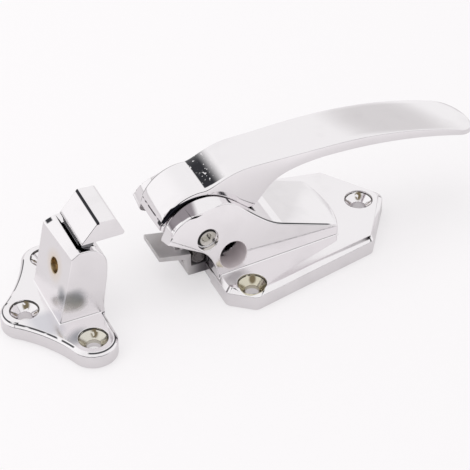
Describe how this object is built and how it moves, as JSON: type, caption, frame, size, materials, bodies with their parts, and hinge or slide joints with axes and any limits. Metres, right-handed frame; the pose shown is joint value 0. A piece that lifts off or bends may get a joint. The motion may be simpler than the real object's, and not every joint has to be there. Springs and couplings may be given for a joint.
{
  "type": "freezer door latch",
  "caption": "Cast freezer door latch with a pull handle that draws back a spring bolt, and a separate strike whose hooked head is set for height by a screw.",
  "frame": {"origin": "on the latch's mounting face, at the middle of the plate's length and width", "axes": "+X along the handle towards its tip, +Z away from the door, +Y across the plate"},
  "size_m": [0.204, 0.075, 0.0492],
  "materials": {
    "chrome_casting": "polished chrome on a zinc casting",
    "zinc_steel": "zinc-plated sheet steel",
    "bright_steel": "bright turned steel",
    "bronze": "sintered bronze",
    "spring_wire": "drawn spring wire",
    "brass": "turned brass"
  },
  "bodies": {
    "housing": {"latch_body": "chrome_casting", "bottom_cover": "zinc_steel", "cover_screws": "bright_steel", "pivot_pin": "bright_steel", "spring_seat": "bright_steel", "bolt_spring": "spring_wire", "handle_spring": "spring_wire", "strike_base": "chrome_casting", "strike_set_screw": "brass"},
    "handle": {"handle_lever": "chrome_casting", "handle_bush_front": "bronze", "handle_bush_rear": "bronze", "drive_pin": "bright_steel", "drive_rollers": "bright_steel"},
    "bolt": {"latch_bolt": "chrome_casting", "bolt_guide_rod": "bright_steel"},
    "strike_hook": {"strike_head": "chrome_casting"}
  },
  "joints": [
    {"name": "handle_pull", "type": "hinge", "parent": "housing", "child": "handle", "pos_m": [-0.044, 0, 0.0252], "axis": [0, -1, 0], "range_deg": [0, 35], "stiffness_Nm_per_rad": 0.3, "springref_deg": -45.84, "deforming": ["handle_spring"]},
    {"name": "bolt_slide", "type": "slide", "parent": "housing", "child": "bolt", "axis": [1, 0, 0], "range_m": [0, 0.009], "stiffness_N_per_m": 300, "springref_m": -0.012, "deforming": ["bolt_spring"]},
    {"name": "head_height", "type": "slide", "parent": "housing", "child": "strike_hook", "axis": [0, 0, 1], "range_m": [-0.001, 0.005]}
  ],
  "couplings": [
    {"joint": "bolt_slide", "follows": "handle_pull", "m_per_rad": 0.01445}
  ]
}
